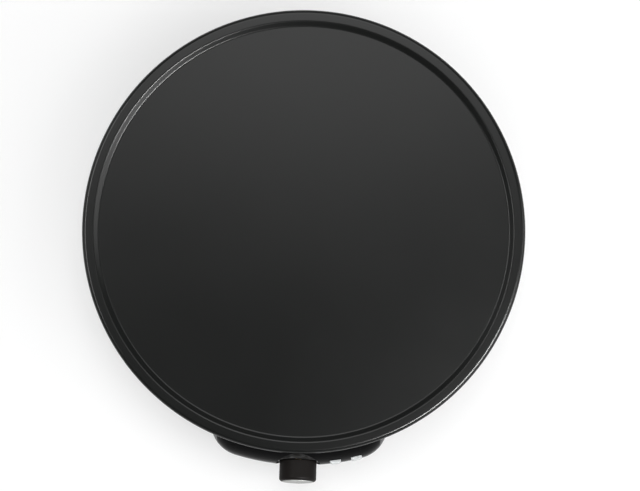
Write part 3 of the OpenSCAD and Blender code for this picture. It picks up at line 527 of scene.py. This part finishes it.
# %% Give every solid its finish
slot_of = {part["node"]: part["material_slot"] for part in frame["record"]["subparts"]}
for node, solid in frame["nodes"].items():
    solid.data.materials.clear()
    solid.data.materials.append(finishes[slot_of[node]])
print("slots without a finish:", sorted(set(slot_of.values()) - set(finishes)))

# %% [markdown]
# ## Turned pieces
# Most of the new pieces are round: the plate, the knob, its disc, the lamps' stems and the
# feet. Each is drawn as half a section and spun about its axis, as on a lathe. The sharp
# rings are then rounded with a bevel, because no casting or moulding has a knife edge.

# %% Helpers for turned pieces
MERGE_WITHIN, ON_RING_WITHIN = 1e-7, 2e-6


def lathe(section, steps):
    """A closed shape from (radius, height) pairs in millimetres, spun about the Z axis."""
    mesh = bmesh.new()
    points = [mesh.verts.new((r * MM, 0, z * MM)) for r, z in section]
    edges = [mesh.edges.new(pair) for pair in zip(points, points[1:])]
    if section[0][0] > 0:
        edges.append(mesh.edges.new((points[-1], points[0])))
    bmesh.ops.spin(mesh, geom=points + edges, cent=(0, 0, 0), axis=(0, 0, 1),
                   angle=2 * math.pi, steps=steps, use_merge=True)
    bmesh.ops.remove_doubles(mesh, verts=mesh.verts, dist=MERGE_WITHIN)
    bmesh.ops.recalc_face_normals(mesh, faces=mesh.faces)
    return mesh


def round_rings(mesh, rings, width, segments):
    """Rounds the circular edges at the given (radius, height) pairs by a width in millimetres."""
    def on_ring(edge, r, z):
        return all(abs(math.hypot(*v.co.xy) - r * MM) < ON_RING_WITHIN
                   and abs(v.co.z - z * MM) < ON_RING_WITHIN for v in edge.verts)
    chosen = [e for e in mesh.edges if any(on_ring(e, r, z) for r, z in rings)]
    bmesh.ops.bevel(mesh, geom=chosen, offset=width * MM, offset_type="OFFSET", affect="EDGES",
                    segments=segments, profile=0.5, material=-1)


def add_shape(mesh, added):
    """Moves the faces of one shape into another."""
    carried = bpy.data.meshes.new("carried")
    added.to_mesh(carried)
    added.free()
    mesh.from_mesh(carried)
    bpy.data.meshes.remove(carried)


def make_piece(name, mesh, body, slot, *stands_for, place=Matrix(), sharp=40):
    """Carries a bmesh to its place as a piece that rides on a body and stands for some solids."""
    bmesh.ops.transform(mesh, matrix=place, verts=mesh.verts)
    data = bpy.data.meshes.new(name)
    mesh.to_mesh(data)
    mesh.free()
    data.shade_smooth()
    data.set_sharp_from_angle(angle=math.radians(sharp))
    data.materials.append(finishes[slot])
    made = bpy.data.objects.new(name, data)
    bpy.context.scene.collection.objects.link(made)
    even = made.modifiers.new("even_shading", "WEIGHTED_NORMAL")
    even.keep_sharp = True
    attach(made, body)
    if stands_for:
        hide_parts(*stands_for)
    print(name, len(data.polygons), "faces, stands for", stands_for)


# %% [markdown]
# ## Baking plate
# The real plate is one aluminium casting: a flat cooking surface, a single step up to a flat
# border, and a rounded outer edge. Underneath, two ribs hold the heating tube in channels,
# and small bosses take the screws. The top is spun in one piece. The ribs are a section with
# its channel, spun part of the way round, and the bosses are plain turned studs.

# %% Plate
PLATE_R, STEP_FOOT_R, STEP_HEAD_R = 190, 176, 180
COOK_Z, BORDER_Z, SKIRT_LOW, UNDER_Z, UNDER_BORDER_Z = 79.2, 82, 72, 74.7, 77.5
mesh = lathe([
    (0, COOK_Z), (60, COOK_Z), (140, COOK_Z), (STEP_FOOT_R, COOK_Z), (STEP_HEAD_R, BORDER_Z),
    (PLATE_R, BORDER_Z), (PLATE_R, SKIRT_LOW), (186.4, SKIRT_LOW), (185.8, UNDER_BORDER_Z),
    (STEP_HEAD_R, UNDER_BORDER_Z), (STEP_FOOT_R, UNDER_Z), (0, UNDER_Z)], steps=256)
round_rings(mesh, [(STEP_FOOT_R, COOK_Z), (STEP_HEAD_R, BORDER_Z)], 0.75, 4)
round_rings(mesh, [(PLATE_R, BORDER_Z)], 4.0, 10)
round_rings(mesh, [(PLATE_R, SKIRT_LOW)], 0.8, 3)
print("plate turned:", len(mesh.faces), "faces")

# %% Helpers for ribs and studs
ROOT_Z = 75.7


def part_turn(mesh, section, radius, start, angle, steps, place=Matrix()):
    """Adds a closed section, (across, height) in millimetres, carried part of the way round."""
    turn = Matrix.Rotation(math.radians(start), 4, "Z")
    points = [mesh.verts.new(place @ turn @ Vector(((radius + x) * MM, 0, z * MM)))
              for x, z in section]
    edges = [mesh.edges.new(pair) for pair in zip(points, points[1:] + points[:1])]
    made = bmesh.ops.spin(mesh, geom=points + edges, cent=place.translation,
                          axis=(0, 0, 1), angle=math.radians(angle), steps=steps)
    ends = edges + [e for e in made["geom_last"] if isinstance(e, bmesh.types.BMEdge)]
    bmesh.ops.holes_fill(mesh, edges=ends, sides=0)


def stud(mesh, radius, low, hole, hole_top, where):
    """Adds a round boss, rooted in the plate, that ends low and has a blind screw hole."""
    turned = lathe([(0, ROOT_Z), (radius, ROOT_Z), (radius, low), (hole, low), (hole, hole_top),
                    (0, hole_top)], steps=32)
    bmesh.ops.translate(turned, verts=turned.verts, vec=where)
    add_shape(mesh, turned)


def polar(radius, degrees):
    """A point in metres, from a radius in millimetres and a turn about the plate's axis."""
    turn = math.radians(degrees)
    return Vector((radius * math.cos(turn), radius * math.sin(turn), 0)) * MM


def channel(half_width, groove, centre_z, low):
    """The section of a rib under the plate with a round channel for a tube."""
    arch = [(groove * math.cos(math.radians(a)), centre_z + groove * math.sin(math.radians(a)))
            for a in range(0, 181, 15)]
    return ([(half_width, ROOT_Z), (half_width, low), (groove, low)] + arch
            + [(-groove, low), (-half_width, low), (-half_width, ROOT_Z)])


# %% Ribs over the heating tube
OUTER_RUN, INNER_RUN, TUBE_BEND_AT = 133, 80, -70
between_runs = (OUTER_RUN + INNER_RUN) / 2
rib = channel(7, 3.3, 71.2, 70.2)
part_turn(mesh, rib, OUTER_RUN, TUBE_BEND_AT, 318, 212)
part_turn(mesh, rib, INNER_RUN, TUBE_BEND_AT, 313, 156)
part_turn(mesh, rib, (OUTER_RUN - INNER_RUN) / 2, TUBE_BEND_AT - 180, 180, 48,
          Matrix.Translation(polar(between_runs, TUBE_BEND_AT)))
print("with ribs:", len(mesh.faces), "faces")

# %% Studs and the bulb's block
BULB_TURN, BLOCK_START, BLOCK_LONG = 262, 68, 70
for turn in (0, 90, 180, 270):
    stud(mesh, 7, 66, 2.55, 73, polar(150, turn))
for turn in (10, 90, 170):
    stud(mesh, 5, 67.93, 2.0, 73.43, polar(between_runs, turn))
stud(mesh, 4.5, 69, 2.0, 74, polar(50, 60))
radial = Matrix.Rotation(math.radians(BULB_TURN), 4, "Z")
for side in (-10, 10):
    stud(mesh, 4, 68.47, 1.5, 73.45,
         radial @ (Vector((BLOCK_START + BLOCK_LONG / 2, side, 0)) * MM))
block = [mesh.verts.new(radial @ Vector((BLOCK_START * MM, x * MM, z * MM)))
         for x, z in channel(6.6, 3.05, 71.45, 70.45)]
face = mesh.faces.new(block)
pulled = bmesh.ops.extrude_face_region(mesh, geom=[face])["geom"]
bmesh.ops.translate(mesh, verts=[v for v in pulled if isinstance(v, bmesh.types.BMVert)],
                    vec=radial @ Vector((BLOCK_LONG * MM, 0, 0)))
bmesh.ops.recalc_face_normals(mesh, faces=mesh.faces)
make_piece("plate_casting", mesh, "base", "non_stick_plate", "baking_plate",
           place=on_plate_axis)

# %% [markdown]
# ## Knob
# The knob is a hollow moulded cap with a hub for the spindle, a well rounded front edge and
# a thin turned disc let into its face. The mark is a white strip in a groove down its side.
# The lathe does the body. The groove is two of its side faces pushed in, which is why the
# body is spun in steps of two and a half degrees.

# %% Knob
KNOB_R, KNOB_WALL_R, HUB_R, SPINDLE_R, RECESS_R = 16.3, 14.2, 5.5, 3.05, 13.55
FACE_Z, RECESS_Z, KNOB_LOW, HUB_LOW, HOLLOW_TOP = 14.5, 13.7, -2.9, -1.5, 10
MARK_TURN, GROOVE_LOW, GROOVE_TOP, GROOVE_DEEP = 225, -1.4, 10.1, 0.8
KNOB_STEPS = 144
mesh = lathe([
    (0, RECESS_Z), (RECESS_R, RECESS_Z), (RECESS_R, FACE_Z), (KNOB_R, FACE_Z),
    (KNOB_R, GROOVE_TOP), (KNOB_R, GROOVE_LOW), (KNOB_R, KNOB_LOW), (KNOB_WALL_R, KNOB_LOW),
    (KNOB_WALL_R, HOLLOW_TOP), (HUB_R, HOLLOW_TOP), (HUB_R, HUB_LOW), (SPINDLE_R, HUB_LOW),
    (SPINDLE_R, 10.05), (0, 10.05)], steps=KNOB_STEPS)
round_rings(mesh, [(KNOB_R, FACE_Z)], 2.6, 6)
round_rings(mesh, [(KNOB_R, KNOB_LOW), (KNOB_WALL_R, KNOB_LOW)], 0.35, 2)
groove = []
for face in mesh.faces:
    middle = face.calc_center_median()
    off = math.degrees(math.atan2(middle.y, middle.x)) % 360 - MARK_TURN
    outside = math.hypot(*middle.xy) > (KNOB_R - 0.3) * MM
    if outside and abs(off) < 2.4 and GROOVE_LOW < middle.z / MM < GROOVE_TOP:
        groove.append(face)
bmesh.ops.inset_region(mesh, faces=groove, thickness=0.03 * MM, depth=-GROOVE_DEEP * MM)
make_piece("control_knob", mesh, "knob", "knob_black", "knob", place=on_knob_axis)
print("groove faces", len(groove))

# %% Disc and mark
DISC_R, DISC_TOP = 13.5, 14.8
mesh = lathe([(0, RECESS_Z), (DISC_R, RECESS_Z), (DISC_R, DISC_TOP), (12.9, DISC_TOP),
              (12.5, 14.65), (0, 14.65)], steps=KNOB_STEPS)
round_rings(mesh, [(DISC_R, DISC_TOP)], 0.15, 2)
make_piece("knob_disc", mesh, "knob", "cap_silver", "knob_cap", place=on_knob_axis)

MARK_WIDE = 4.6
mesh = bmesh.new()
part_turn(mesh, [(-0.72, -1.3), (-0.02, -1.3), (-0.02, 10), (-0.72, 10)], KNOB_R,
          MARK_TURN - MARK_WIDE / 2, MARK_WIDE, 6)
bmesh.ops.recalc_face_normals(mesh, faces=mesh.faces)
make_piece("knob_mark", mesh, "knob", "mark_white", "knob_pointer", place=on_knob_axis)

# %% [markdown]
# ## Marks on the dial ring
# The ring round the knob lies a little behind the panel. Plain moulded strokes on its face
# show the way round, evenly spaced over the knob's three quarters of a turn. They are low
# strips of the ring's own black, sunk into the face so that only their tops stand out. No
# white is seen there from above, so they aren't painted.

# %% Dial strokes
KNOB_TRAVEL, STROKES, STROKE_R, LONG_STROKE, SHORT_STROKE = 270, 11, 18.05, 2.6, 1.5
mesh = bmesh.new()
for step in range(STROKES):
    turn = MARK_TURN - KNOB_TRAVEL / (STROKES - 1) * step
    thick = LONG_STROKE if step % 5 == 0 else SHORT_STROKE
    part_turn(mesh, [(-0.8, -3.3), (0.8, -3.3), (0.7, -3.0), (-0.7, -3.0)], STROKE_R,
              turn - thick / 2, thick, 2)
bmesh.ops.recalc_face_normals(mesh, faces=mesh.faces)
make_piece("dial_strokes", mesh, "base", "ring_black", place=on_knob_axis)

# %% [markdown]
# ## Pilot lamps
# Each lamp shows as a small clear jewel with four flat slopes that catch the light one by
# one. It starts as a grid of one square, which is pulled up to a foot and then to a smaller
# top. The hollow stem below holds the lamp. It is turned and joined to the foot's underside.

# %% Lamp jewels
FOOT_WIDE, FOOT_DEEP, TOP_WIDE, TOP_DEEP = 9.5, 7.8, 5.7, 4.0
FOOT_RISE, SLOPE_RISE, STEM_R, STEM_HOLE_R, STEM_LOW = 0.58, 1.4, 3.6, 3.1, -9
for name, node, place in (("lamp_jewel_left", "pilot_lens_left", on_lamp_axes[0]),
                          ("lamp_jewel_right", "pilot_lens_right", on_lamp_axes[1])):
    mesh = bmesh.new()
    bmesh.ops.create_grid(mesh, x_segments=1, y_segments=1, size=0.5)
    bmesh.ops.scale(mesh, verts=mesh.verts, vec=(FOOT_WIDE * MM, FOOT_DEEP * MM, 1))
    bmesh.ops.translate(mesh, verts=mesh.verts, vec=(0, 0, 0.02 * MM))
    level = mesh.faces[:]
    for rise, width, depth in ((FOOT_RISE, 1, 1),
                               (SLOPE_RISE, TOP_WIDE / FOOT_WIDE, TOP_DEEP / FOOT_DEEP)):
        pulled = bmesh.ops.extrude_face_region(mesh, geom=level)["geom"]
        corners = [v for v in pulled if isinstance(v, bmesh.types.BMVert)]
        level = [f for f in pulled if isinstance(f, bmesh.types.BMFace)]
        bmesh.ops.translate(mesh, verts=corners, vec=(0, 0, rise * MM))
        bmesh.ops.scale(mesh, verts=corners, vec=(width, depth, 1))
    bmesh.ops.recalc_face_normals(mesh, faces=mesh.faces)
    slopes = [e for e in mesh.edges if e.is_manifold and any(v.co.z > 0.3 * MM for v in e.verts)]
    bmesh.ops.bevel(mesh, geom=slopes, offset=0.15 * MM, offset_type="OFFSET", affect="EDGES",
                    segments=2, profile=0.5, material=-1)
    add_shape(mesh, lathe([(STEM_R, 0.3), (STEM_R, STEM_LOW), (STEM_HOLE_R, STEM_LOW),
                           (STEM_HOLE_R, 0.3)], steps=48))
    make_piece(name, mesh, "base", "lens_clear", node, place=place, sharp=20)

# %% [markdown]
# ## Feet
# Four rubber feet with a rounded tread and a sunk screw. They are turned like the rest.

# %% Feet
FEET_AT_R, FOOT_TALL, TREAD_R, SINK_R, SCREW_R, SINK_TOP = 140, 8, 12, 4.7, 2.2, 3.5
for node, turn in (("foot_front_left", 225), ("foot_front_right", 315),
                   ("foot_rear_left", 135), ("foot_rear_right", 45)):
    mesh = lathe([(SCREW_R, SINK_TOP), (SINK_R, SINK_TOP), (SINK_R, 0), (TREAD_R, 0),
                  (12.15, 1.6), (12.6, 4.5), (13, FOOT_TALL), (SCREW_R, FOOT_TALL)], steps=72)
    round_rings(mesh, [(TREAD_R, 0)], 0.9, 3)
    round_rings(mesh, [(SINK_R, 0)], 0.4, 2)
    bmesh.ops.translate(mesh, verts=mesh.verts, vec=polar(FEET_AT_R, turn))
    make_piece("rubber_" + node, mesh, "base", "rubber_black", node, place=on_plate_axis)

# %% [markdown]
# ## Front panel
# The panel keeps the exact shape of its solid. Only its edges are too sharp for a moulding.
# A copy of the solid's mesh is merged into one skin, flat areas are dissolved to single
# faces, and its sharp edges are bevelled.

# %% Front panel
SKIN_WITHIN, FLAT_WITHIN, SHARP_EDGE, PANEL_ROUND = 2e-6, 0.3, 35, 0.35
mesh = bmesh.new()
mesh.from_mesh(frame["nodes"]["front_fascia"].data)
bmesh.ops.remove_doubles(mesh, verts=mesh.verts, dist=SKIN_WITHIN)
bmesh.ops.dissolve_limit(mesh, angle_limit=math.radians(FLAT_WITHIN), verts=mesh.verts,
                         edges=mesh.edges)
chosen = [e for e in mesh.edges
          if len(e.link_faces) == 2 and e.calc_face_angle() > math.radians(SHARP_EDGE)]
bmesh.ops.bevel(mesh, geom=chosen, offset=PANEL_ROUND * MM, offset_type="OFFSET",
                affect="EDGES", segments=2, profile=0.5, material=-1, clamp_overlap=True)
print("open edges", sum(len(e.link_faces) != 2 for e in mesh.edges))
make_piece("front_panel", mesh, "base", "fascia_gloss", "front_fascia")

# %% [markdown]
# ## Wires and the capillary
# Under the heat shield, sleeved wires run from the terminal block to the thermostat and the
# heater, and a thin copper tube links the thermostat to its bulb. A curve with a round bevel
# follows the same route as the solid, with each corner turned into an arc: two points lie
# where the arc starts and ends, and their handles reach a bit more than half way to the
# corner. The curve becomes a mesh, so that it can be moved to the object's frame.

# %% Helpers for wires
END_PULL = 0.1


def arced(route, bend):
    """Points of a path in metres with (point, incoming, outgoing) handles, corners made arcs."""
    path = [Vector(p) * MM for p in route]
    knots = [(path[0], path[0], path[0].lerp(path[1], END_PULL))]
    for before, corner, after in zip(path, path[1:], path[2:]):
        ahead, onward = (corner - before).normalized(), (after - corner).normalized()
        turn = ahead.angle(onward)
        back = bend * MM * math.tan(turn / 2)
        pull = bend * MM * 4 / 3 * math.tan(turn / 4)
        start, end = corner - ahead * back, corner + onward * back
        knots.append((start, start - ahead * pull, start + ahead * pull))
        knots.append((end, end - onward * pull, end + onward * pull))
    knots.append((path[-1], path[-1].lerp(path[-2], END_PULL), path[-1]))
    return knots


def wire(name, slot, radius, bend, routes):
    """Round wires of a radius and a bend along routes, all in millimetres, as one piece."""
    line = bpy.data.curves.new(name, "CURVE")
    line.dimensions = "3D"
    line.bevel_depth, line.bevel_resolution, line.use_fill_caps = radius * MM, 4, True
    line.resolution_u = 10
    for route in routes:
        knots = arced(route, bend)
        spline = line.splines.new("BEZIER")
        spline.bezier_points.add(len(knots) - 1)
        for point, (place, coming, going) in zip(spline.bezier_points, knots):
            point.handle_left_type = point.handle_right_type = "FREE"
            point.co, point.handle_left, point.handle_right = place, coming, going
    drawn = bpy.data.objects.new(name, line)
    bpy.context.scene.collection.objects.link(drawn)
    bpy.context.view_layer.update()
    mesh = bmesh.new()
    mesh.from_mesh(drawn.evaluated_get(bpy.context.evaluated_depsgraph_get()).to_mesh())
    bpy.data.objects.remove(drawn)
    bmesh.ops.remove_doubles(mesh, verts=mesh.verts, dist=MERGE_WITHIN)
    bmesh.ops.recalc_face_normals(mesh, faces=mesh.faces)
    make_piece(name + "_round", mesh, "base", slot, name, sharp=60)


# %% Wires
CAPILLARY_R, LEAD_R, LAMP_LEAD_R, THIN_BEND, LEAD_BEND = 0.75, 1.3, 0.9, 3, 6
wire("capillary_tube", "copper", CAPILLARY_R, THIN_BEND, [[
    (-19.2, -120.1, 71.5), (-20.3, -128.0, 71.5), (-20.3, -128.0, 40), (-26, -149.4, 40),
    (-26, -165.6, 56.7), (-18, -165.6, 56.7)]])
wire("wire_live", "wire_brown", LEAD_R, LEAD_BEND, [[
    (42, 126.6, 22), (42, 108.6, 22), (24, -101.4, 17), (12, -129.8, 23.6), (12, -140.3, 26.9)]])
wire("wire_heater", "wire_brown", LEAD_R, LEAD_BEND, [[
    (-12, -140.3, 26.9), (-12, -129.8, 23.6), (-34.2, -112.5, 17), (-34.2, -112.5, 29)]])
wire("wire_neutral", "wire_blue", LEAD_R, LEAD_BEND, [
    [(18, 126.6, 22), (18, 108.6, 22), (-22.9, 28.6, 16), (-22.9, -3.4, 16)],
    [(-22.9, -33.4, 16), (-22.9, -61.0, 16), (-22.9, -61.0, 29)]])
wire("wire_earth", "wire_green", LEAD_R, LEAD_BEND, [[
    (30, 126.6, 22), (30, 108.6, 22), (31, 70.3, 22), (31, 70.3, 68.6)]])
wire("lamp_wires", "wire_white", LAMP_LEAD_R, THIN_BEND, [
    [(30.8, -171.5, 48.8), (29.9, -166.3, 46), (30, -158.7, 45.1), (18, -158.7, 45.1)],
    [(48.1, -167.9, 48.8), (46.7, -162.7, 46), (40, -161.7, 35.6), (18, -161.7, 35.6)],
])
